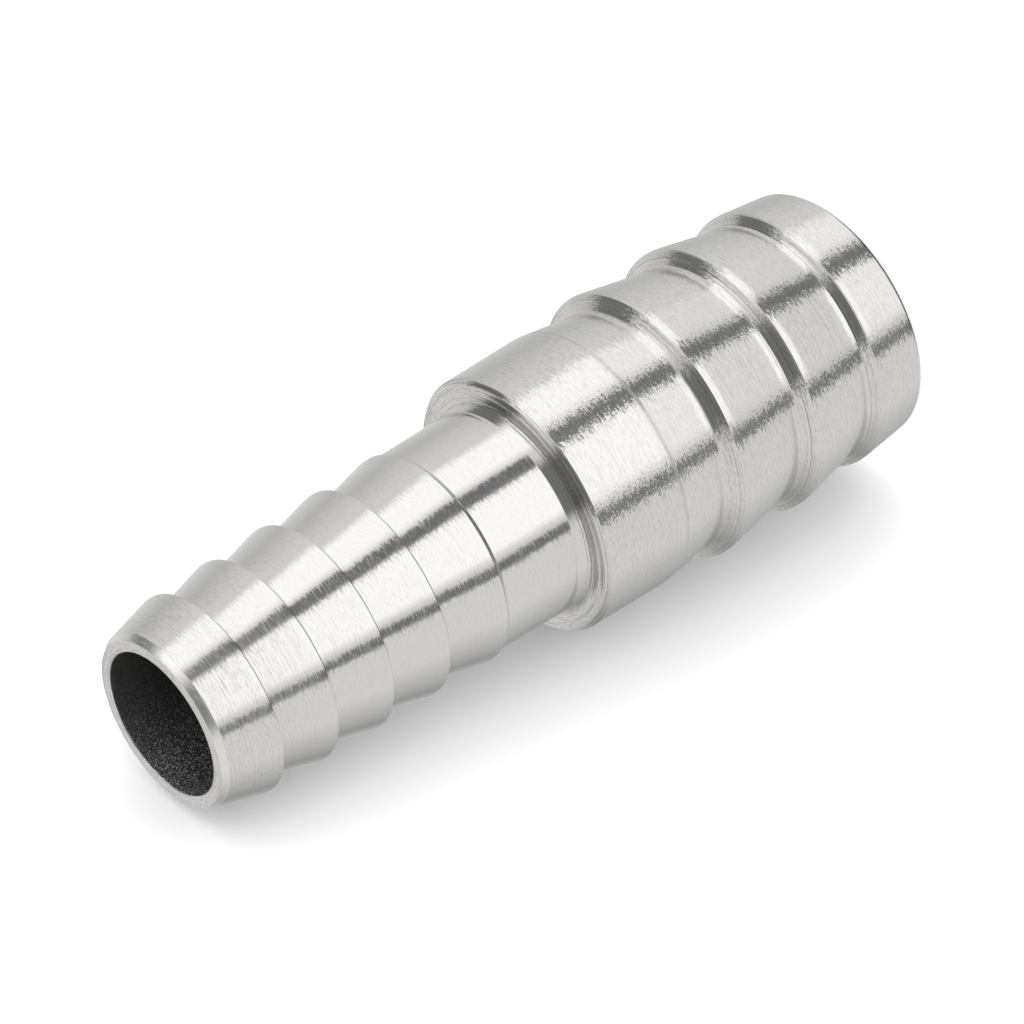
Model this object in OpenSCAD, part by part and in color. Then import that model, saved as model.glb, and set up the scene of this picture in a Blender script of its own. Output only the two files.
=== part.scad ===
// Hose barb reducer turned from one bar of stainless steel.
// It stands on the rim of its big hose end, with the small hose end up.
// Every size is in millimetres. Places along the part are measured from the small tip,
// as they would be set out on a lathe.

/* [Small hose end] */
// Diameter of the bore in the small end
small_bore_d = 9.26; // [6:0.02:9.6]
// Diameter of the tip's flat end face
tip_d = 10.76; // [10.3:0.02:11.1]
// Diameter behind the tip's bevelled edge
tip_edge_d = 11.36; // [11.2:0.02:11.8]
// Length of the bevelled edge
tip_edge_run = 0.39; // [0.35:0.01:0.6]
// Rounding between the end face and the bevel
tip_face_r = 0.08; // [0.02:0.01:0.15]
// Rounding between the bevel and the first barb
tip_edge_r = 0.3; // [0.1:0.05:0.5]
// Rounding of the small bore's mouth
small_mouth_r = 0.1; // [0.05:0.05:0.2]
// Number of barbs
small_barbs = 5; // [3:1:5]
// Place of the first crest
first_crest_at = 3.72; // [3:0.02:4.5]
// Length of the barb behind the first crest
barb_pitch = 3.95; // [3:0.05:4.1]
// How much longer each barb is than the one before it
barb_pitch_gain = 0.095; // [0:0.005:0.12]
// Diameter over the first crest
first_crest_d = 12.94; // [12.5:0.02:13.3]
// Diameter over the last crest
last_crest_d = 13.74; // [13.3:0.02:14]
// Level land at each crest
crest_land = 0.3; // [0.1:0.05:0.5]
// Blend between a barb's slope and its land
crest_blend_r = 1.1; // [0.2:0.1:1.5]
// Rounding of each crest's back edge
barb_crest_r = 0.19; // [0.05:0.01:0.22]
// Depth of the step behind the first crest
first_barb_depth = 0.77; // [0.6:0.01:0.9]
// Depth that the steps come down to by the last crest
last_barb_depth = 0.67; // [0.6:0.01:0.9]
// Length that a step takes along the part
barb_step_run = 0.22; // [0.2:0.01:0.4]
// Rounding at the foot of each step
barb_root_r = 0.12; // [0.05:0.01:0.3]
// Level land at the foot of each step
barb_root_land = 0.2; // [0.15:0.01:0.4]
// Blend between a foot's land and the next slope
barb_root_blend_r = 0.7; // [0.2:0.1:1]

/* [Neck and collar] */
// Length of the small tail, from the tip to the collar's face, which stops the small hose
small_tail_length = 26.5; // [25:0.25:28]
// Length of the step from the last crest down to the neck
neck_step_run = 0.3; // [0.2:0.02:0.5]
// Diameter of the plain neck behind the last barb
neck_d = 13.34; // [13:0.02:13.5]
// Diameter of the neck where it meets the collar
neck_end_d = 13.54; // [13.4:0.02:13.7]
// Fillet between the neck and the collar's face
neck_fillet_r = 0.25; // [0.1:0.05:0.6]
// Angle of the collar's face to the part's axis
collar_face_angle = 86; // [80:1:89]
// Length of the chamfer on the collar's front edge
collar_chamfer_run = 0.35; // [0.2:0.01:0.5]
// Depth of that chamfer
collar_chamfer_depth = 0.26; // [0.2:0.01:0.4]
// Rounding of both edges of that chamfer
collar_edge_r = 0.1; // [0.02:0.02:0.2]
// Diameter of the collar behind the chamfer
collar_d = 16.78; // [16.6:0.02:17.4]
// Diameter at the end of the collar's land
collar_end_d = 16.96; // [16.8:0.02:17.4]
// Length of the collar from its face to where it starts to taper
collar_land = 5.9; // [4.5:0.1:6.5]
// Blend where the collar starts to taper
collar_blend_r = 3; // [1:0.5:5]

/* [Big hose end] */
// Length of the big tail, from the end of the collar's land to the rim
big_tail_length = 19.8; // [19:0.1:22]
// Diameter of the bore in the big end
big_bore_d = 12.4; // [11:0.1:13]
// Depth of the big bore from the rim
big_bore_depth = 21; // [15:0.5:23]
// Included angle of the cone that joins the two bores
drill_point_angle = 118; // [90:1:140]
// Chamfer of the big bore's mouth
big_mouth_chamfer = 0.3; // [0.1:0.05:0.5]
// Place of the crest nearest the collar, counted from the rim
big_crest_1_from_rim = 15.2; // [14:0.05:16]
// Place of the middle crest, counted from the rim
big_crest_2_from_rim = 9.16; // [8.5:0.02:10]
// Place of the crest nearest the rim, counted from the rim
big_crest_3_from_rim = 3.72; // [3:0.02:4.5]
// Diameter over the crest nearest the collar
big_crest_1_d = 17.76; // [17.4:0.02:18.4]
// Diameter over the middle crest
big_crest_2_d = 17.7; // [17.4:0.02:18.2]
// Diameter over the crest nearest the rim
big_crest_3_d = 17.18; // [16.9:0.02:18]
// Level land behind each crest
big_crest_land = 0.4; // [0.3:0.05:0.6]
// Blend between a crest's land and its taper
big_crest_blend_r = 2; // [0.5:0.1:2.5]
// Rounding of each crest's front edge
big_crest_r = 0.3; // [0.1:0.02:0.32]
// Diameter at the foot of each step
big_root_d = 15.84; // [15.2:0.02:15.9]
// Angle of each step's face to the part's axis
big_face_angle = 60; // [55:1:75]
// Fillet at the foot of each step
big_foot_r = 0.65; // [0.3:0.05:0.7]
// Diameter of the rim, before its edge is rounded
rim_d = 16.42; // [16:0.02:16.9]
// Rounding of the rim's outer edge
rim_edge_r = 0.3; // [0.1:0.05:0.6]

/* [Hidden] */
$fn = 96;
// Straight pieces in each rounded corner
arc_steps = 6;
// Most of an edge that the arc at one of its ends may take
most_of_edge = 0.49;
// Colour of bright stainless steel
steel = [0.78, 0.77, 0.76];

collar_land_end = small_tail_length + collar_land;
total_length = collar_land_end + big_tail_length;

// Crests of the small end, counted from 0
last_crest = small_barbs - 1;
function small_crest_at(i) = first_crest_at + i * barb_pitch + barb_pitch_gain * i * (i - 1) / 2;
function small_crest_d(i) = first_crest_d + (last_crest_d - first_crest_d) * i / last_crest;
function barb_depth(i) = first_barb_depth + (last_barb_depth - first_barb_depth) * i / last_crest;
function barb_root_d(i) = small_crest_d(i) - 2 * barb_depth(i);
function step_end(i) = small_crest_at(i) + barb_step_run;

// The collar's face leans back a little, so its top lies behind its foot
face_top_d = collar_d - 2 * collar_chamfer_depth;
face_top_at = small_tail_length + (face_top_d - neck_end_d) / 2 / tan(collar_face_angle);

// Crests of the big end: place from the tip, and diameter
big_crests = [
    [total_length - big_crest_1_from_rim, big_crest_1_d],
    [total_length - big_crest_2_from_rim, big_crest_2_d],
    [total_length - big_crest_3_from_rim, big_crest_3_d]
];
// A step's foot lies ahead of its crest by the run of the sloping face
function big_foot_at(crest) = crest[0] - (crest[1] - big_root_d) / 2 / tan(big_face_angle);

// The outline is a row of stations: [place from the tip, diameter, rounding radius]
outside = [
    [0, tip_d, tip_face_r],
    [tip_edge_run, tip_edge_d, tip_edge_r],
    for (i = [0 : last_crest]) each [
        [small_crest_at(i) - crest_land, small_crest_d(i), crest_blend_r],
        [small_crest_at(i), small_crest_d(i), barb_crest_r],
        if (i < last_crest) each [
            [step_end(i), barb_root_d(i), barb_root_r],
            [step_end(i) + barb_root_land, barb_root_d(i), barb_root_blend_r]
        ]
    ],
    [small_crest_at(last_crest) + neck_step_run, neck_d, 0],
    [small_tail_length, neck_end_d, neck_fillet_r],
    [face_top_at, face_top_d, collar_edge_r],
    [face_top_at + collar_chamfer_run, collar_d, collar_edge_r],
    [collar_land_end, collar_end_d, collar_blend_r],
    for (crest = big_crests) each [
        [big_foot_at(crest), big_root_d, big_foot_r],
        [crest[0], crest[1], big_crest_r],
        [crest[0] + big_crest_land, crest[1], big_crest_blend_r]
    ],
    [total_length, rim_d, rim_edge_r]
];

big_bore_end = total_length - big_bore_depth;
drill_cone_length = (big_bore_d - small_bore_d) / 2 / tan(drill_point_angle / 2);
inside = [
    [total_length, big_bore_d + 2 * big_mouth_chamfer, 0],
    [total_length - big_mouth_chamfer, big_bore_d, 0],
    [big_bore_end, big_bore_d, 0],
    [big_bore_end - drill_cone_length, small_bore_d, 0],
    [0, small_bore_d, small_mouth_r]
];

stations = concat(outside, inside);
// Station to a point of the half section: radius across, height up from the rim
function half_point(s) = [s[1] / 2, total_length - s[0]];

function direction(a, b) = (b - a) / norm(b - a);
function cross_2d(a, b) = a[0] * b[1] - a[1] * b[0];
function turned(v, angle) = [v[0] * cos(angle) - v[1] * sin(angle), v[0] * sin(angle) + v[1] * cos(angle)];

// A corner with a radius becomes an arc that touches both of its edges. The arc is smaller
// where an edge is too short for it.
function rounded_corner(before, corner, after, radius) =
    let (
        towards = direction(before, corner),
        away = direction(corner, after),
        bend = atan2(cross_2d(towards, away), towards * away),
        room = most_of_edge * min(norm(corner - before), norm(after - corner)),
        fitted = min(radius, room / tan(abs(bend) / 2)),
        start = corner - towards * fitted * tan(abs(bend) / 2),
        centre = start + sign(bend) * fitted * [-towards[1], towards[0]]
    )
    radius == 0 ? [corner] : [for (k = [0 : arc_steps]) centre + turned(start - centre, bend * k / arc_steps)];

last_station = len(stations) - 1;
half_section = [
    for (k = [0 : last_station])
        each rounded_corner(
            half_point(stations[k == 0 ? last_station : k - 1]),
            half_point(stations[k]),
            half_point(stations[k == last_station ? 0 : k + 1]),
            stations[k][2]
        )
];

// The whole reducer: one solid of revolution, barbs and bores in a single profile
module reducer_body() {
    color(steel)
        rotate_extrude()
            polygon(half_section);
}

reducer_body();
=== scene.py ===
# %% [markdown]
# A hose barb reducer, turned from stainless steel
#
# This lesson dresses one turned part. Everything about it is round its own axis, so the
# lesson is about three things: a surface of revolution worked out with numpy, a metal
# whose fine turning marks run round the part, and a studio whose lights hang round
# the same axis. Lengths are written in millimetres, as on a drawing, and become metres
# where they meet Blender.

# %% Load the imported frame
import math

import bpy
import numpy as np
from mathutils import Matrix, Vector


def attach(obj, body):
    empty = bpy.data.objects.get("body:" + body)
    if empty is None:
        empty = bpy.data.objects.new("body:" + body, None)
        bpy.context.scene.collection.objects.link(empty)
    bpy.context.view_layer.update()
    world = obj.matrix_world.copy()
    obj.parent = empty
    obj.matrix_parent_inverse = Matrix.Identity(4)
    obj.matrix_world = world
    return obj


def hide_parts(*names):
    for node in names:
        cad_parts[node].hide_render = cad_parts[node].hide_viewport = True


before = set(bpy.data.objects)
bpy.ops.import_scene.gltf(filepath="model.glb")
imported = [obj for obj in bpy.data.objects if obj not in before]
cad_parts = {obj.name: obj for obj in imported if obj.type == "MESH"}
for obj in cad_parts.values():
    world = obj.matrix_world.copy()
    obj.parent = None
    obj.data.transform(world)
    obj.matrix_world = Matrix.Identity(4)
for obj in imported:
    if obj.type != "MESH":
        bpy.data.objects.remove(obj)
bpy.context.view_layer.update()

# %% [markdown]
# Units and colours
#
# One name holds the length of a millimetre, so that a size can be read against the
# drawing. Colours are written as the hex values that a picture shows. Blender works in
# linear light, so one function undoes the sRGB curve.

# %% Units and colours
MM = 0.001


def linear_colour(hex_code, alpha=1.0):
    """sRGB to linear: below 0.04045 a straight line of slope 1 / 12.92, above it a power of 2.4."""
    channels = [int(hex_code[i:i + 2], 16) / 255 for i in (1, 3, 5)]
    linear = [c / 12.92 if c <= 0.04045 else ((c + 0.055) / 1.055) ** 2.4 for c in channels]
    return (*linear, alpha)


print("mid grey #808080 is", round(linear_colour("#808080")[0], 3), "in linear light")

# %% [markdown]
# The drawing of the part
#
# The outline is a row of stations, each with its place from the small tip, its diameter
# and the rounding of its corner, just as a turner would set it out. The small tail has
# saw-tooth barbs that slope up from the tip and step down behind each crest. The big
# tail's barbs face the other way: a step with a filleted foot, then a slope down to the
# rim. A Screw or Spin of a hand-drawn curve would also work, but stations in an array
# keep every size visible.

# %% Sizes of the small hose end
small_bore_d = 9.26
small_mouth_r = 0.1
tip_d = 10.76
tip_edge_d = 11.36
tip_edge_run = 0.39
tip_face_r = 0.08
tip_edge_r = 0.3
small_barbs = 5
first_crest_at = 3.72
barb_pitch = 3.95
barb_pitch_gain = 0.095
first_crest_d = 12.94
last_crest_d = 13.74
crest_land = 0.3
crest_blend_r = 1.1
first_barb_depth = 0.77
last_barb_depth = 0.67
barb_step_run = 0.22
barb_crest_r = 0.19
barb_root_r = 0.12
barb_root_land = 0.2
barb_root_blend_r = 0.7

# %% Sizes of the neck, the collar and the big hose end
small_tail_length = 26.5
neck_d = 13.34
neck_end_d = 13.54
neck_step_run = 0.3
neck_fillet_r = 0.25
collar_face_angle = 86.0
collar_chamfer_run = 0.35
collar_chamfer_depth = 0.26
collar_edge_r = 0.1
collar_d = 16.78
collar_end_d = 16.96
collar_land = 5.9
collar_blend_r = 3.0
big_tail_length = 19.8
# The widest crest is 0.02 mm under the drawing's 17.76, so that the fine skin stays in the CAD box
big_crests = [(15.2, 17.74), (9.16, 17.7), (3.72, 17.18)]
big_crest_land = 0.4
big_crest_blend_r = 2.0
big_root_d = 15.84
big_face_angle = 60.0
big_foot_r = 0.65
big_crest_r = 0.3
rim_d = 16.42
rim_edge_r = 0.3
big_bore_d = 12.4
big_bore_depth = 21.0
big_mouth_chamfer = 0.3
drill_point_angle = 118.0
total_length = small_tail_length + collar_land + big_tail_length

# %% Stations from the tip, over the outside, and back through the bores
outside = [(0.0, tip_d, tip_face_r), (tip_edge_run, tip_edge_d, tip_edge_r)]
for i in range(small_barbs):
    crest_at = first_crest_at + i * barb_pitch + barb_pitch_gain * i * (i - 1) / 2
    crest_d = first_crest_d + (last_crest_d - first_crest_d) * i / (small_barbs - 1)
    depth = first_barb_depth + (last_barb_depth - first_barb_depth) * i / (small_barbs - 1)
    outside += [(crest_at - crest_land, crest_d, crest_blend_r), (crest_at, crest_d, barb_crest_r)]
    if i < small_barbs - 1:
        root_at = crest_at + barb_step_run
        root_d = crest_d - 2 * depth
        outside += [(root_at, root_d, barb_root_r), (root_at + barb_root_land, root_d, barb_root_blend_r)]
    else:
        outside.append((crest_at + neck_step_run, neck_d, 0.0))
face_top_d = collar_d - 2 * collar_chamfer_depth
face_run = (face_top_d - neck_end_d) / 2 / math.tan(math.radians(collar_face_angle))
outside += [
    (small_tail_length, neck_end_d, neck_fillet_r),
    (small_tail_length + face_run, face_top_d, collar_edge_r),
    (small_tail_length + face_run + collar_chamfer_run, collar_d, collar_edge_r),
    (small_tail_length + collar_land, collar_end_d, collar_blend_r),
]
for crest_from_rim, crest_d in big_crests:
    crest_at = total_length - crest_from_rim
    face_run = (crest_d - big_root_d) / 2 / math.tan(math.radians(big_face_angle))
    outside += [
        (crest_at - face_run, big_root_d, big_foot_r),
        (crest_at, crest_d, big_crest_r),
        (crest_at + big_crest_land, crest_d, big_crest_blend_r),
    ]
outside.append((total_length, rim_d, rim_edge_r))

big_bore_end = total_length - big_bore_depth
drill_cone = (big_bore_d - small_bore_d) / 2 / math.tan(math.radians(drill_point_angle / 2))
inside = [
    (total_length, big_bore_d + 2 * big_mouth_chamfer, 0.0),
    (total_length - big_mouth_chamfer, big_bore_d, 0.0),
    (big_bore_end, big_bore_d, 0.0),
    (big_bore_end - drill_cone, small_bore_d, 0.0),
    (0.0, small_bore_d, small_mouth_r),
]
stations = np.array(outside + inside)
print(len(outside), "stations outside and", len(inside), "inside")

# %% [markdown]
# Rounded corners
#
# A turned corner is never perfectly sharp, and on bright metal it is the rounding that
# catches the light as a thin line. Each corner with a radius becomes an arc that touches
# both of its edges. The angle between the edges gives how far along them the arc starts:
# the radius times the tangent of half the bend. An arc takes a little less than half of its
# shorter edge at most. Smooth shading blends each long slope with the corner beside it, so
# a guard point just inside each end keeps that blend short.

# %% Round the corners of the half section
arc_steps = 6
most_of_edge = 0.49
guard = 0.05
long_in_guards = 8


def round_corners(corners, radii, steps):
    """Arc at each corner: the start point turned about the arc's centre by equal parts of the bend."""
    towards = corners - np.roll(corners, 1, axis=0)
    edge = np.linalg.norm(towards, axis=1)
    towards /= edge[:, None]
    away = np.roll(towards, -1, axis=0)
    room = most_of_edge * np.minimum(edge, np.roll(edge, -1))
    bend = np.arctan2(
        towards[:, 0] * away[:, 1] - towards[:, 1] * away[:, 0],
        np.sum(towards * away, axis=1),
    )
    half_tangent = np.tan(np.abs(bend) / 2)
    radii = np.minimum(radii, room / half_tangent)
    start = corners - towards * (radii * half_tangent)[:, None]
    square = np.stack([-towards[:, 1], towards[:, 0]], axis=1)
    centre = start + (np.sign(bend) * radii)[:, None] * square
    angle = bend[:, None] * np.linspace(0.0, 1.0, steps + 1)
    arm = (start - centre)[:, None, :]
    cosine, sine = np.cos(angle), np.sin(angle)
    turned = np.stack(
        [arm[..., 0] * cosine - arm[..., 1] * sine, arm[..., 0] * sine + arm[..., 1] * cosine],
        axis=2,
    )
    points = centre[:, None, :] + turned
    keep = np.ones(angle.shape, bool)
    keep[:, 1:] = radii[:, None] > 0
    owner = np.repeat(np.arange(len(corners)), steps + 1).reshape(angle.shape)
    return points[keep], owner[keep]


def guard_corners(section, owners, gap):
    """Long runs: one more point at the gap from each end, at start plus the unit way along times the gap."""
    way = np.roll(section, -1, axis=0) - section
    length = np.linalg.norm(way, axis=1)
    long_run = np.flatnonzero(length > long_in_guards * gap)
    unit = way[long_run] / length[long_run, None]
    ends = np.roll(section, -1, axis=0)[long_run]
    added = np.stack([section[long_run] + unit * gap, ends - unit * gap], axis=1).reshape(-1, 2)
    places = np.repeat(long_run + 1, 2)
    added_owners = np.repeat(owners[long_run], 2)
    return np.insert(section, places, added, axis=0), np.insert(owners, places, added_owners)


corner_points = np.stack([stations[:, 1] / 2, total_length - stations[:, 0]], axis=1)
half_section, station_of = round_corners(corner_points, stations[:, 2], arc_steps)
half_section, station_of = guard_corners(half_section, station_of, guard)
print(len(half_section), "points round the half section")

# %% [markdown]
# The surface of revolution
#
# A point of the surface is the half section's radius carried round the axis: x is radius
# times cosine, y is radius times sine, and z is the height. The grid wraps both ways, so
# the mesh is one closed skin with no seam and no pole. Its second texture coordinate is
# the distance run along the section, because the lathe tool left its marks along that
# path: they lie square to it on every slope, face and fillet.

# %% Revolve the half section
steps_round = 320
sharp_angle = math.radians(25)


def revolve(section, around):
    """Closed skin: every section point at every angle, joined to the next in both directions."""
    angle = np.arange(around) * (2 * np.pi / around)
    x = section[:, :1] * np.cos(angle)
    y = section[:, :1] * np.sin(angle)
    z = np.repeat(section[:, 1:], around, axis=1)
    points = np.stack([x, y, z], axis=2).reshape(-1, 3)
    row = np.arange(len(section))[:, None] * around
    next_row = np.roll(row, -1, axis=0)
    column = np.arange(around)[None, :]
    next_column = np.roll(column, -1, axis=1)
    quads = np.stack(
        [row + column, next_row + column, next_row + next_column, row + next_column], axis=2
    )
    return points, quads.reshape(-1, 4)


points, quads = revolve(half_section * MM, steps_round)
skin = bpy.data.meshes.new("reducer_turned")
skin.from_pydata(points, [], quads.tolist())
side_a = points[quads[:, 1]] - points[quads[:, 0]]
side_b = points[quads[:, 3]] - points[quads[:, 0]]
outward = np.cross(side_a, side_b)
tip_row = outward[np.abs(points[quads[:, 0], 2] - total_length * MM) < 1e-9]
print(len(quads), "faces; the tip's face looks along z by", np.sign(np.median(tip_row[:, 2])))

# %% [markdown]
# Texture coordinates
#
# Round the part the coordinate is the angle, from 0 to 1. Along the section it is the
# run in millimetres, so a pattern's scale can be read in lines per millimetre.

# %% Give the skin its texture coordinates and smooth shading
step_length = np.linalg.norm(np.roll(half_section, -1, axis=0) - half_section, axis=1)
run = np.concatenate([[0.0], np.cumsum(step_length)])
face_row, face_column = np.divmod(np.arange(len(quads)), steps_round)
low, high = run[face_row], run[face_row + 1]
left, right = face_column / steps_round, (face_column + 1) / steps_round
corner_uv = np.stack(
    [
        np.stack([left, low], axis=1),
        np.stack([left, high], axis=1),
        np.stack([right, high], axis=1),
        np.stack([right, low], axis=1),
    ],
    axis=1,
)
tool_path = skin.uv_layers.new(name="tool_path")
tool_path.uv.foreach_set("vector", corner_uv.astype(np.float32).ravel())
skin.shade_smooth()
skin.set_sharp_from_angle(angle=sharp_angle)
reducer = bpy.data.objects.new("reducer_turned", skin)
bpy.context.scene.collection.objects.link(reducer)
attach(reducer, "root")
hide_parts("reducer_body")
print("section is", round(run[-1], 1), "mm round")

# %% [markdown]
# A helper for node materials
#
# Each material below is a short list of nodes. This function adds one node, sets its
# values and links its inputs, and it is all that the materials need.


# %% One function that adds a node
def add_node(tree, kind, values=None, links=None, **settings):
    """Adds a node of a kind, with its own settings, its socket values and links from other sockets."""
    node = tree.nodes.new(kind)
    for name, value in settings.items():
        setattr(node, name, value)
    for socket, value in (values or {}).items():
        node.inputs[socket].default_value = value
    for socket, source in (links or {}).items():
        tree.links.new(source, node.inputs[socket])
    return node


def new_material(name):
    """An empty node material with its output, ready for a shader."""
    material = bpy.data.materials.new(name)
    material.use_nodes = True
    material.node_tree.nodes.clear()
    output = material.node_tree.nodes.new("ShaderNodeOutputMaterial")
    return material, material.node_tree, output


# %% [markdown]
# Turned stainless steel
#
# The part was turned from bar, so its surface carries the tool's marks: fine strokes
# that run round the part, with a finer grain between them. Each stroke tips the surface
# a little to one side, and that breaks the edges of the reflected lights into ragged
# teeth. A bump map would tip the surface mostly along the part, because the strokes are
# so narrow that way. So the normal is tipped directly: round the part by a noise that is
# stretched round it, with small flecks, and along the part by rings that only change
# along the tool's path. The big end looks as if it was turned with a coarser feed, so its
# reflections are softer. Steel keeps the shader's own index of refraction, as a metal's
# colour is its base colour.

# %% Sizes of the turning marks
# Real marks are finer than a pixel of the render, so these are coarse enough to show
stroke_width = 0.08
stroke_length = 0.45
grain_width = 0.08
grain_length = 0.11
ring_width = 0.13
small_end_tip = 0.014
big_end_tip = 0.03
small_end_grain_tip = 0.014
big_end_grain_tip = 0.05
fleck_tip = -0.03
ring_tip = 0.03
steep_ring_tip = 0.22
flare_tip = 0.90
edge_tip = -0.42
fleck_starts = 0.1
fleck_full = 0.9
finish_change_at = total_length - small_tail_length
finish_change_half = 0.4
turned_line_at = total_length - 32.8
turned_line_half = 0.13
scuff_starts = 8.5
scuff_full = 3.0
steep_starts = 0.25
steep_full = 0.5
bevel_inset = 0.005
flare_starts = 0.9
flare_full = 0.5
flare_half = 0.4
broken_edge_under = 0.37
broken_edge_half = 0.07
print("strokes are", stroke_width, "mm wide and", stroke_length, "mm long")

# %% Noise that follows the turning
# Blender's noise stays mostly between these two values
noise_low = 0.3
noise_high = 0.7

turned_steel, tree, output = new_material("stainless_steel_turned")
place = add_node(tree, "ShaderNodeTexCoord")
axes = add_node(tree, "ShaderNodeSeparateXYZ", links={"Vector": place.outputs["Object"]})
path = add_node(tree, "ShaderNodeUVMap", uv_map="tool_path")
path_axes = add_node(tree, "ShaderNodeSeparateXYZ", links={"Vector": path.outputs["UV"]})


def spread(noise):
    """Noise from -1 to 1: the low value becomes -1 and the high one 1."""
    return add_node(
        tree,
        "ShaderNodeMapRange",
        {"From Min": noise_low, "From Max": noise_high, "To Min": -1.0, "To Max": 1.0},
        {"Value": noise.outputs["Fac"]},
    ).outputs[0]


def turning_noise(width, length):
    """Noise from -1 to 1 in cells: x and y are divided by a length, the run of the tool's path by a width."""
    lengthwise = add_node(
        tree,
        "ShaderNodeVectorMath",
        {1: (1 / (length * MM), 1 / (length * MM), 0.0)},
        {0: place.outputs["Object"]},
        operation="MULTIPLY",
    )
    widthwise = add_node(
        tree, "ShaderNodeMath", {1: 1 / width}, {0: path_axes.outputs["Y"]}, operation="MULTIPLY"
    )
    up = add_node(tree, "ShaderNodeCombineXYZ", links={"Z": widthwise.outputs[0]})
    cell = add_node(
        tree, "ShaderNodeVectorMath", links={0: lengthwise.outputs[0], 1: up.outputs[0]}, operation="ADD"
    )
    noise = add_node(
        tree,
        "ShaderNodeTexNoise",
        {"Scale": 1.0, "Detail": 1.0, "Roughness": 0.5},
        {"Vector": cell.outputs[0]},
    )
    return spread(noise)


strokes = turning_noise(stroke_width, stroke_length)
grain = turning_noise(grain_width, grain_length)
ring_noise = add_node(
    tree,
    "ShaderNodeTexNoise",
    {"Scale": 1 / ring_width, "Detail": 2.0, "Roughness": 0.6},
    {"W": path_axes.outputs["Y"]},
    noise_dimensions="1D",
)
rings = spread(ring_noise)


# %% Two short ways to write sums of masks
def blend(mask, low, high):
    """Goes from a low value to a high one as a mask goes from 0 to 1."""
    ranged = add_node(tree, "ShaderNodeMapRange", {"To Min": low, "To Max": high}, {"Value": mask})
    return ranged.outputs[0]


def times_plus(first, second, rest):
    """First times second plus the rest; each is a socket or a number."""
    values = {i: v for i, v in enumerate((first, second, rest)) if isinstance(v, float)}
    links = {i: v for i, v in enumerate((first, second, rest)) if not isinstance(v, float)}
    return add_node(tree, "ShaderNodeMath", values, links, operation="MULTIPLY_ADD").outputs[0]


# %% [markdown]
# Where the finish changes
#
# Seven masks go from 0 to 1. They are the big end with its coarser feed, the steep faces
# of steps and collar, which a facing cut has left with plainer rings, the first barbs,
# which look scuffed, the bright bevel at the tip, the fine line where two tool passes
# meet behind the collar, the last millimetre of the neck, where the tool lifts out
# towards the collar and the metal flares a little, and the collar's front edge, which
# has been broken to a bright thin line.

# %% Masks of the finish
def band(middle, half_width):
    """1 where the height is within the half width of the middle, and 0 elsewhere; in millimetres."""
    return add_node(
        tree,
        "ShaderNodeMath",
        {1: middle * MM, 2: half_width * MM},
        {0: axes.outputs["Z"]},
        operation="COMPARE",
    ).outputs[0]


def fade(start, full):
    """Goes from 0 to 1 as the height goes from the start to the place where it is full; in millimetres."""
    return add_node(
        tree,
        "ShaderNodeMapRange",
        {"From Min": start * MM, "From Max": full * MM},
        {"Value": axes.outputs["Z"]},
    ).outputs[0]


big_end = fade(finish_change_at + finish_change_half, finish_change_at - finish_change_half)
normal_axes = add_node(tree, "ShaderNodeSeparateXYZ", links={"Vector": place.outputs["Normal"]})
steep_part = add_node(
    tree, "ShaderNodeMath", links={0: normal_axes.outputs["Z"]}, operation="ABSOLUTE"
)
steep = add_node(
    tree,
    "ShaderNodeMapRange",
    {"From Min": steep_starts, "From Max": steep_full},
    {"Value": steep_part.outputs[0]},
).outputs[0]
scuffed = fade(total_length - scuff_starts, total_length - scuff_full)
bevel = band(total_length - tip_edge_run / 2, tip_edge_run / 2 - bevel_inset)
turned_line = band(turned_line_at, turned_line_half)
neck_end = band(finish_change_at + flare_full, flare_half)
near_collar = fade(finish_change_at + flare_starts, finish_change_at + flare_full)
flare = times_plus(neck_end, near_collar, 0.0)
broken_edge = band(finish_change_at - broken_edge_under, broken_edge_half)
print("the finish changes", round(finish_change_at, 2), "mm above the rim")


# %% How far each mark tips the surface
stroke_share = times_plus(strokes, blend(big_end, small_end_tip, big_end_tip), 0.0)
grain_share = times_plus(grain, blend(big_end, small_end_grain_tip, big_end_grain_tip), stroke_share)
flecks = add_node(
    tree, "ShaderNodeMapRange", {"From Min": fleck_starts, "From Max": fleck_full}, {"Value": grain}
)
round_share = times_plus(flecks.outputs[0], fleck_tip, grain_share)
ring_share = times_plus(rings, blend(steep, ring_tip, steep_ring_tip), 0.0)
along_share = times_plus(broken_edge, edge_tip, times_plus(flare, flare_tip, ring_share))

# %% Tip the normal round the part and along it
# The way round the part is the axis crossed with the way out to the surface
way_round = add_node(
    tree,
    "ShaderNodeVectorMath",
    {0: (0.0, 0.0, 1.0)},
    {1: place.outputs["Object"]},
    operation="CROSS_PRODUCT",
)
way_round_unit = add_node(
    tree, "ShaderNodeVectorMath", links={0: way_round.outputs[0]}, operation="NORMALIZE"
)
way_round_world = add_node(
    tree,
    "ShaderNodeVectorTransform",
    links={0: way_round_unit.outputs[0]},
    vector_type="VECTOR",
    convert_from="OBJECT",
    convert_to="WORLD",
)
surface = add_node(tree, "ShaderNodeNewGeometry")
way_along = add_node(
    tree,
    "ShaderNodeVectorMath",
    links={0: surface.outputs["Normal"], 1: way_round_world.outputs[0]},
    operation="CROSS_PRODUCT",
)
tip_round = add_node(
    tree,
    "ShaderNodeVectorMath",
    links={0: way_round_world.outputs[0], "Scale": round_share},
    operation="SCALE",
)
tip_along = add_node(
    tree, "ShaderNodeVectorMath", links={0: way_along.outputs[0], "Scale": along_share}, operation="SCALE"
)
both_tips = add_node(
    tree, "ShaderNodeVectorMath", links={0: tip_round.outputs[0], 1: tip_along.outputs[0]}, operation="ADD"
)
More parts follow.
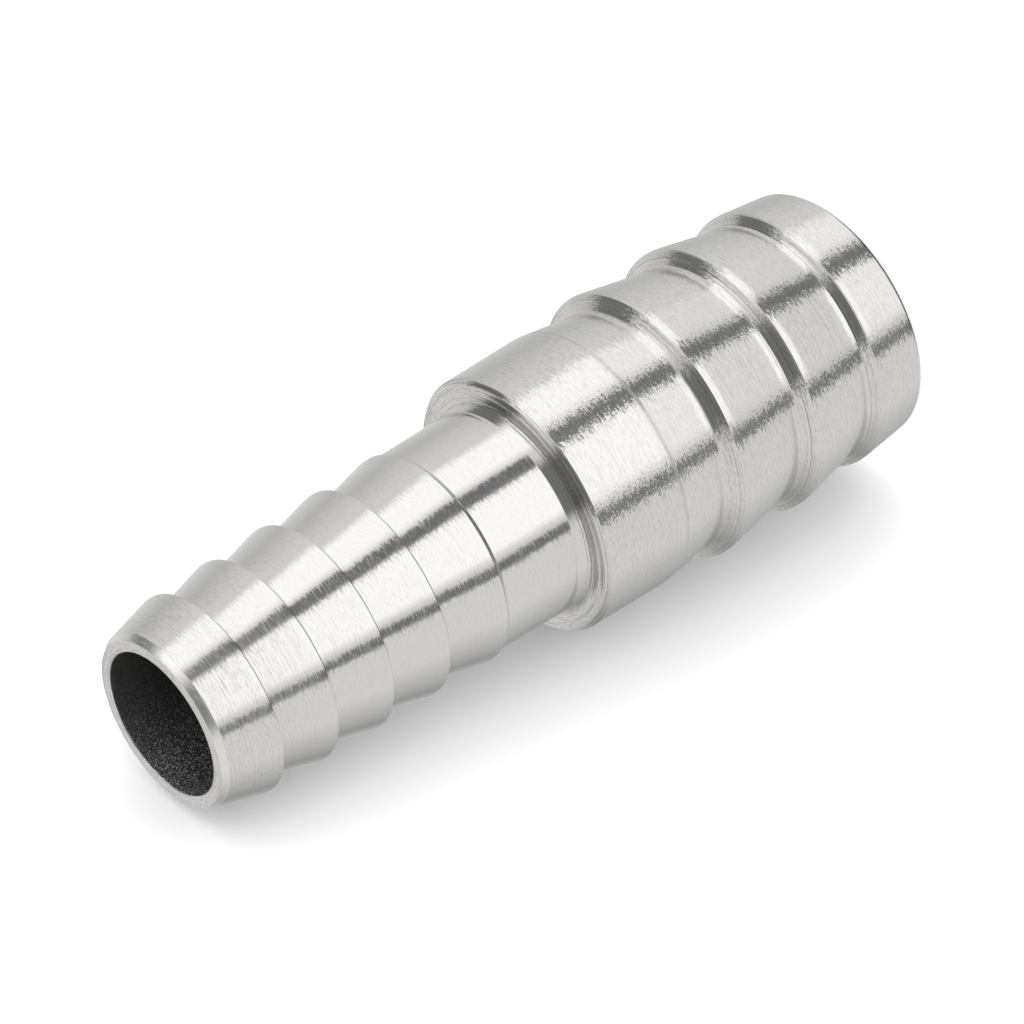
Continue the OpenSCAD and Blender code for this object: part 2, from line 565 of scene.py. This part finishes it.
tipped = add_node(
    tree,
    "ShaderNodeVectorMath",
    links={0: surface.outputs["Normal"], 1: both_tips.outputs[0]},
    operation="ADD",
)
tipped_unit = add_node(tree, "ShaderNodeVectorMath", links={0: tipped.outputs[0]}, operation="NORMALIZE")

# %% [markdown]
# Colour and gloss of the marks
#
# A scored mark holds a little less light than the polished steel beside it, so the
# darker side of the noise takes the colour some way to a duller steel: barely on the
# small end, more on the scuffed barbs and on the coarser big end. The deeper strokes
# are rougher too, which lays a fine grey grain into the dark reflections. Turning marks
# also blur a reflection along the part far more than round it, and that is what the
# shader's anisotropy does, with its tangent laid along the part.

# %% Turned stainless steel for the outside
small_end_scoring = 0.08
tip_scoring = 0.20
big_end_scoring = 0.22
face_scoring = 0.35
small_end_roughness = 0.11
big_end_roughness = 0.15
small_end_speck = 0.11
big_end_speck = 0.06
scuff_roughness = 0.03
bevel_roughness = 0.14
line_roughness = 0.16
line_scoring = 0.10
rings_on_slopes = 0.5
rings_on_faces = 1.5
score_starts = -0.4
score_full = 1.6
speck_full = 0.8
blur_along = 0.5
polished_steel = "#E8E7E6"
scored_steel = "#6E6C6B"
bright_cut = "#F2F1F0"

marks = times_plus(rings, blend(steep, rings_on_slopes, rings_on_faces), strokes)
scored = add_node(
    tree, "ShaderNodeMapRange", {"From Min": score_starts, "From Max": score_full}, {"Value": marks}
)
turned_scoring = add_node(
    tree,
    "ShaderNodeMath",
    links={0: blend(big_end, small_end_scoring, big_end_scoring), 1: blend(scuffed, 0.0, tip_scoring)},
    operation="MAXIMUM",
)
scoring = add_node(
    tree,
    "ShaderNodeMath",
    links={0: turned_scoring.outputs[0], 1: blend(steep, 0.0, face_scoring)},
    operation="MAXIMUM",
)
line_share = times_plus(turned_line, line_scoring, 0.0)
score_share = times_plus(scored.outputs[0], scoring.outputs[0], line_share)
colour = add_node(
    tree,
    "ShaderNodeMix",
    {6: linear_colour(polished_steel), 7: linear_colour(scored_steel)},
    {0: score_share},
    data_type="RGBA",
)
cut_colour = add_node(
    tree,
    "ShaderNodeMix",
    {7: linear_colour(bright_cut)},
    {0: bevel, 6: colour.outputs[2]},
    data_type="RGBA",
)
end_roughness = blend(big_end, small_end_roughness, big_end_roughness)
specks = add_node(tree, "ShaderNodeMapRange", {"From Max": speck_full}, {"Value": strokes})
scuff_added = times_plus(scuffed, scuff_roughness, end_roughness)
speck_size = blend(big_end, small_end_speck, big_end_speck)
speck_added = times_plus(specks.outputs[0], speck_size, scuff_added)
line_added = times_plus(turned_line, line_roughness, speck_added)
roughness = times_plus(bevel, bevel_roughness, line_added)
steel = add_node(
    tree,
    "ShaderNodeBsdfPrincipled",
    {"Metallic": 1.0, "Anisotropic": blur_along},
    {
        "Base Color": cut_colour.outputs[2],
        "Roughness": roughness,
        "Normal": tipped_unit.outputs[0],
        "Tangent": way_along.outputs[0],
    },
)
tree.links.new(steel.outputs[0], output.inputs["Surface"])
print("steel has", len(tree.nodes), "nodes")

# %% [markdown]
# The bores
#
# A drilled bore is darker than a turned outside, because little light gets in. Its wall
# is dull and finely pitted, with short scratches. It is the same steel, so it stays mostly
# a metal, with a darker base colour that is partly its duller drilled finish and partly
# painted shade of the deep bore, a pitted bump, and a stretched noise that is cut off so
# high that only its peaks are left as scratches. The scratches are rougher and carry
# painted white glints, thickest on the lower wall, which faces up into the light when the
# part lies on its side. A small share of it scatters light, as a film of dried cutting oil does.

# %% Drilled stainless steel for the bores
pit_size = 0.12
pit_depth = 0.05
scratch_width = 0.06
scratch_length = 0.10
scratch_starts = 0.25
scratch_full = 0.65
lower_side_starts = 2.0
lower_side_full = -2.5
upper_side_share = 0.15
wall_roughness = 0.42
scratch_roughness = 0.62
metal_share = 0.94
mouth_edge = 0.05
# The bore's steel is darker than the outside's: partly a duller drilled finish, partly painted shade of the
# deep bore
shaded_dull_steel = "#6A6968"
# Pure white, brighter than any steel: painted glints on the scratches
painted_glint_white = "#FFFFFF"
drilled_steel, tree, output = new_material("stainless_steel_drilled")
place = add_node(tree, "ShaderNodeTexCoord")
path = add_node(tree, "ShaderNodeUVMap", uv_map="tool_path")
path_axes = add_node(tree, "ShaderNodeSeparateXYZ", links={"Vector": path.outputs["UV"]})
peaks = add_node(
    tree,
    "ShaderNodeMapRange",
    {"From Min": scratch_starts, "From Max": scratch_full},
    {"Value": turning_noise(scratch_width, scratch_length)},
)
bore_axes = add_node(tree, "ShaderNodeSeparateXYZ", links={"Vector": place.outputs["Object"]})
# Painted glints: the scratches whiten most on the lower wall, which faces up into the light when the part
# lies on its side
lit_lower_wall = add_node(
    tree,
    "ShaderNodeMapRange",
    {"From Min": lower_side_starts * MM, "From Max": lower_side_full * MM, "To Min": upper_side_share},
    {"Value": bore_axes.outputs["X"]},
)
# The scratches' peaks, made rougher and whitened by painted glints
scratches_and_glints = add_node(
    tree, "ShaderNodeMath", links={0: peaks.outputs[0], 1: lit_lower_wall.outputs[0]}, operation="MULTIPLY"
)
pits = add_node(
    tree,
    "ShaderNodeTexNoise",
    {"Scale": 1 / (pit_size * MM), "Detail": 2.0, "Roughness": 0.6},
    {"Vector": place.outputs["Object"]},
)
pit_bump = add_node(
    tree, "ShaderNodeBump", {"Strength": 1.0, "Distance": pit_depth * MM}, {"Height": pits.outputs["Fac"]}
)
# Dull steel with painted shade, whitened by painted glints where the scratches are
bore_colour = add_node(
    tree,
    "ShaderNodeMix",
    {6: linear_colour(shaded_dull_steel), 7: linear_colour(painted_glint_white)},
    {0: scratches_and_glints.outputs[0]},
    data_type="RGBA",
)
bore_roughness = add_node(
    tree,
    "ShaderNodeMapRange",
    {"To Min": wall_roughness, "To Max": scratch_roughness},
    {"Value": scratches_and_glints.outputs[0]},
)
steel = add_node(
    tree,
    "ShaderNodeBsdfPrincipled",
    {"Metallic": metal_share},
    {
        "Base Color": bore_colour.outputs[2],
        "Roughness": bore_roughness.outputs[0],
        "Normal": pit_bump.outputs[0],
    },
)
tree.links.new(steel.outputs[0], output.inputs["Surface"])

skin.materials.append(turned_steel)
skin.materials.append(drilled_steel)
first_inside = len(outside)
below_mouth = half_section[face_row, 1] < total_length - mouth_edge
in_bore = (station_of[face_row] >= first_inside + 1) & below_mouth
skin.polygons.foreach_set("material_index", in_bore.astype(np.int32))
print(int(in_bore.sum()), "faces are bore")

# %% [markdown]
# The floor and the table
#
# The part stands on a white floor. The photograph shows it lying on a white table, so a
# second plane touches the part where that table would: at the crest nearest the tip and
# at the first crest of the big tail. The table is white to the camera and darkens where the
# part keeps the room's light off it. The floor glows so much that it stays white there
# too, so the part's shadow shows only on the table. The table is one-sided, so that it
# never hides the part from behind.

# %% The floor under the rim
table_glow = 0.18
table_tone = 0.95
floor_glow = 0.62
floor_tone = 0.9
stage_size = 600.0


def stage_plane(name, origin, normal, material):
    """A square about a point, square to a direction; its corners are the point plus or minus two axes."""
    normal = Vector(normal).normalized()
    side = normal.orthogonal().normalized()
    other = normal.cross(side)
    centre = Vector(origin)
    half_size = stage_size * MM / 2
    signs = ((-1, -1), (1, -1), (1, 1), (-1, 1))
    corners = [centre + (side * a + other * b) * half_size for a, b in signs]
    mesh = bpy.data.meshes.new(name)
    mesh.from_pydata(corners, [], [(0, 1, 2, 3)])
    mesh.materials.append(material)
    plane = bpy.data.objects.new(name, mesh)
    bpy.context.scene.collection.objects.link(plane)
    plane.visible_diffuse = False
    plane.visible_glossy = False
    plane.visible_transmission = False
    plane.visible_shadow = False


def paper(name, glow, tone, one_sided):
    """White paper: its own glow plus what it scatters; from behind, a one-sided sheet is clear."""
    material, tree, output = new_material(name)
    scatter = add_node(tree, "ShaderNodeBsdfDiffuse", {"Color": (tone, tone, tone, 1.0)})
    shine = add_node(tree, "ShaderNodeEmission", {"Color": (1.0, 1.0, 1.0, 1.0), "Strength": glow})
    both = add_node(tree, "ShaderNodeAddShader", links={0: scatter.outputs[0], 1: shine.outputs[0]})
    surface = both
    if one_sided:
        side = add_node(tree, "ShaderNodeNewGeometry")
        clear = add_node(tree, "ShaderNodeBsdfTransparent")
        surface = add_node(
            tree,
            "ShaderNodeMixShader",
            links={0: side.outputs["Backfacing"], 1: both.outputs[0], 2: clear.outputs[0]},
        )
    tree.links.new(surface.outputs[0], output.inputs["Surface"])
    return material


floor_paper = paper("white_paper_floor", floor_glow, floor_tone, False)
stage_plane("studio_floor", (0, 0, 0), (0, 0, 1), floor_paper)
print("floor is", stage_size, "mm wide")

# %% The table that the part would lie on
table_azimuth = math.radians(42.775)
rest_small = (first_crest_at, first_crest_d / 2)
behind_crest = 0.1
press_in = 0.05
rest_big = (total_length - big_crests[0][0] + behind_crest, big_crests[0][1] / 2 - press_in)
table_tilt = math.atan2(rest_big[1] - rest_small[1], rest_big[0] - rest_small[0])
away = Vector((math.sin(table_azimuth), -math.cos(table_azimuth), 0.0))
table_normal = away * math.cos(table_tilt) - Vector((0, 0, 1)) * math.sin(table_tilt)
table_point = (-away * rest_big[1] + Vector((0, 0, 1)) * (total_length - rest_big[0])) * MM
table_paper = paper("white_paper_table", table_glow, table_tone, True)
stage_plane("studio_table", table_point, table_normal, table_paper)
print("table leans", round(math.degrees(table_tilt), 2), "degrees to the part's axis")

# %% [markdown]
# The studio
#
# Bright turned metal shows its surroundings and little else. The reflections in the
# photograph look like strip lights and dark cards that lay along the part, because its
# slopes show them at nearly the same place round it. The tones and edges below follow
# those reflections. To hang lights like that, the world's direction is turned back
# into the surface that would mirror it into the camera. That surface is half way between
# the direction and the way to the camera. Its angle round the part and its tilt say which
# wall, light or card stands there. Two strip lights lie along the part, with dark cards
# beside them. The front strip is short, so steep fillets there mirror a dark card instead.
#
# The camera itself sees a white page, and scattered light comes evenly from a white
# room, which gives the table its soft shadow. Light that reaches the table by way of the
# steel is dimmed, because the steel there mirrors its own shaded table, and that table
# is left out of reflections.

# %% Which surface mirrors a direction into the camera
camera_elevation = math.radians(28.36)
studio_level = 1.30
under_level = 0.15
room_level = 1.15

world = bpy.data.worlds.new("studio")
bpy.context.scene.world = world
world.use_nodes = True
tree = world.node_tree
tree.nodes.clear()
output = tree.nodes.new("ShaderNodeOutputWorld")
look = add_node(tree, "ShaderNodeTexCoord")
look_axes = add_node(tree, "ShaderNodeSeparateXYZ", links={"Vector": look.outputs["Generated"]})
near = add_node(
    tree,
    "ShaderNodeMath",
    {0: math.cos(camera_elevation)},
    {1: look_axes.outputs["Y"]},
    operation="SUBTRACT",
)
rise = add_node(
    tree, "ShaderNodeMath", {1: math.sin(camera_elevation)}, {0: look_axes.outputs["Z"]}, operation="ADD"
)
round_angle = add_node(
    tree, "ShaderNodeMath", links={0: look_axes.outputs["X"], 1: near.outputs[0]}, operation="ARCTAN2"
)
level_part = add_node(tree, "ShaderNodeCombineXYZ", links={"X": look_axes.outputs["X"], "Y": near.outputs[0]})
level_length = add_node(tree, "ShaderNodeVectorMath", links={0: level_part.outputs[0]}, operation="LENGTH")
tilt_angle = add_node(
    tree, "ShaderNodeMath", links={0: rise.outputs[0], 1: level_length.outputs["Value"]}, operation="ARCTAN2"
)
round_share = add_node(
    tree,
    "ShaderNodeMapRange",
    {"From Min": -math.pi, "From Max": math.pi},
    {"Value": round_angle.outputs[0]},
)
print("the camera looks down by", round(math.degrees(camera_elevation), 1), "degrees")

# %% Walls, lights and cards of the studio
# There are only these six tones, each roughly the grey of the steel that mirrors it
white_light = "#F6F6F6"
pale_wall = "#C8C8C8"
middle_wall = "#AEAEAE"
dim_wall = "#8C8C8C"
dark_card = "#666666"
shaded_table = "#303030"

# Walls: an angle round the part from the camera's side, in degrees, and the tone there
walls = [
    (-180, middle_wall),
    (-150, dim_wall),
    (-120, pale_wall),
    (-80, dim_wall),
    (-50, pale_wall),
    (44, pale_wall),
    (64, middle_wall),
    (90, pale_wall),
    (130, dim_wall),
    (180, middle_wall),
]
# Lights and cards, in degrees: first and last angle, soft side edge, first and last tilt, tone
lights_and_cards = {
    "low dark card": (-25.5, -20.0, 1.5, -90, 20, dark_card),
    "front strip light": (-16.0, 10.5, 4.0, -10, 20, white_light),
    "dark card between the strips": (11.0, 18.5, 1.5, -90, 20, dark_card),
    "upper strip light": (20.5, 38.0, 4.0, -10, 48, white_light),
    "dark card under the camera": (-20.0, 12.0, 6.0, 24, 72, dark_card),
    "upper dark card": (42.0, 66.0, 6.0, 24, 72, dark_card),
}
soft_end = 8.0
# Steel that faces along the axis mirrors the pale wall, which comes in between these tilts
front_face_tilts = (80, 87)
# A look this steep downwards meets the shaded table, which comes in between these heights
table_heights = (-0.84, -0.92)
print("the studio has", len(lights_and_cards), "lights and cards:", ", ".join(lights_and_cards))


# %% Build the walls and hang the lights and cards
def build_walls(stops):
    """A colour ramp round the part: an angle of -180 to 180 degrees becomes a place from 0 to 1."""
    ramp = add_node(tree, "ShaderNodeValToRGB", links={"Fac": round_share.outputs[0]})
    elements = ramp.color_ramp.elements
    elements[0].position, elements[0].color = 0.0, linear_colour(stops[0][1])
    elements[1].position, elements[1].color = 1.0, linear_colour(stops[-1][1])
    for angle, tone in stops[1:-1]:
        elements.new((angle + 180) / 360).color = linear_colour(tone)
    return ramp.outputs[0]


def between(source, first, last, soft):
    """Rises from 0 to 1 at the first angle and falls back at the last; each edge is soft degrees wide."""
    rising = add_node(
        tree,
        "ShaderNodeMapRange",
        {"From Min": math.radians(first - soft / 2), "From Max": math.radians(first + soft / 2)},
        {"Value": source},
    )
    falling = add_node(
        tree,
        "ShaderNodeMapRange",
        {"From Min": math.radians(last + soft / 2), "From Max": math.radians(last - soft / 2)},
        {"Value": source},
    )
    both = add_node(
        tree, "ShaderNodeMath", links={0: rising.outputs[0], 1: falling.outputs[0]}, operation="MULTIPLY"
    )
    return both.outputs[0]


def mix_by(share_source, low, high, from_colour, tone):
    """Goes from the colour so far to a tone while the source runs from low to high."""
    share = add_node(
        tree, "ShaderNodeMapRange", {"From Min": low, "From Max": high}, {"Value": share_source}
    )
    mixed = add_node(
        tree,
        "ShaderNodeMix",
        {7: linear_colour(tone)},
        {0: share.outputs[0], 6: from_colour},
        data_type="RGBA",
    )
    return mixed.outputs[2]


tilt = tilt_angle.outputs[0]
studio = build_walls(walls)
for first, last, soft_side, first_tilt, last_tilt, tone in lights_and_cards.values():
    covered = add_node(
        tree,
        "ShaderNodeMath",
        links={
            0: between(round_angle.outputs[0], first, last, soft_side),
            1: between(tilt, first_tilt, last_tilt, soft_end),
        },
        operation="MULTIPLY",
    )
    studio = mix_by(covered.outputs[0], 0.0, 1.0, studio, tone)
face_low, face_high = (math.radians(angle) for angle in front_face_tilts)
studio = mix_by(tilt, face_low, face_high, studio, pale_wall)
studio = mix_by(look_axes.outputs["Z"], *table_heights, studio, shaded_table)
rays = add_node(tree, "ShaderNodeLightPath")
studio_strength = add_node(
    tree,
    "ShaderNodeMapRange",
    {"To Min": studio_level, "To Max": under_level},
    {"Value": rays.outputs["Diffuse Depth"]},
)
studio_light = add_node(
    tree, "ShaderNodeBackground", links={"Color": studio, "Strength": studio_strength.outputs[0]}
)
room_light = add_node(tree, "ShaderNodeBackground", {"Color": (1, 1, 1, 1), "Strength": room_level})
white_page = add_node(tree, "ShaderNodeBackground", {"Color": (1, 1, 1, 1), "Strength": 1.0})
mirror_rays = add_node(
    tree,
    "ShaderNodeMath",
    links={0: rays.outputs["Is Glossy Ray"], 1: rays.outputs["Is Transmission Ray"]},
    operation="MAXIMUM",
)
lit = add_node(
    tree,
    "ShaderNodeMixShader",
    links={0: mirror_rays.outputs[0], 1: room_light.outputs[0], 2: studio_light.outputs[0]},
)
seen = add_node(
    tree,
    "ShaderNodeMixShader",
    links={0: rays.outputs["Is Camera Ray"], 1: lit.outputs[0], 2: white_page.outputs[0]},
)
tree.links.new(seen.outputs[0], output.inputs["Surface"])
print("the studio's level is", studio_level)

# %% [markdown]
# The lamp over the table
#
# One weak and very soft lamp stands over the table on the far side of the part and draws
# its shadow a little towards the camera. The steel doesn't mirror it, because the strip
# lights already stand for it there.

# %% The lamp over the table
lamp_height = math.radians(66)
lamp_strength = 0.35
lamp_width = math.radians(100)
across_table = Vector((0, 0, 1)).cross(table_normal).normalized()
towards_lamp = table_normal * math.sin(lamp_height) + across_table * math.cos(lamp_height)
lamp_data = bpy.data.lights.new("table_lamp", "SUN")
lamp_data.energy = lamp_strength
lamp_data.angle = lamp_width
lamp = bpy.data.objects.new("table_lamp", lamp_data)
bpy.context.scene.collection.objects.link(lamp)
lamp.rotation_euler = towards_lamp.to_track_quat("Z", "Y").to_euler()
lamp.visible_glossy = False
print("the lamp stands", round(math.degrees(lamp_height)), "degrees over the table")

# %% [markdown]
# The camera
#
# The part lay on its side for the photograph and stands here, so the camera is rolled to
# bring it back to the same slant in the frame. It looks a little down on the small tip
# through a long lens, which keeps the two tails nearly in scale.

# %% The camera at the photograph's angle
camera_roll = math.radians(-121.635)
camera_distance = 323.53
aim = Vector((-0.175, 0.0, 25.83))
lens_mm = 193.36
sensor_mm = 36.0

forward = Vector((0.0, math.cos(camera_elevation), -math.sin(camera_elevation)))
level_right = Vector((1.0, 0.0, 0.0))
level_up = level_right.cross(forward)
right = level_right * math.cos(camera_roll) + level_up * math.sin(camera_roll)
up = right.cross(forward)
lens = bpy.data.cameras.new("photograph_camera")
lens.lens = lens_mm
lens.sensor_width = sensor_mm
lens.clip_start, lens.clip_end = 0.01, 10.0
camera = bpy.data.objects.new("photograph_camera", lens)
bpy.context.scene.collection.objects.link(camera)
turn = Matrix((right, up, -forward)).transposed().to_4x4()
camera.matrix_world = Matrix.Translation((aim - forward * camera_distance) * MM) @ turn
bpy.context.scene.camera = camera
bpy.context.scene.view_settings.view_transform = "Standard"
print("camera at", [round(v, 4) for v in camera.location])
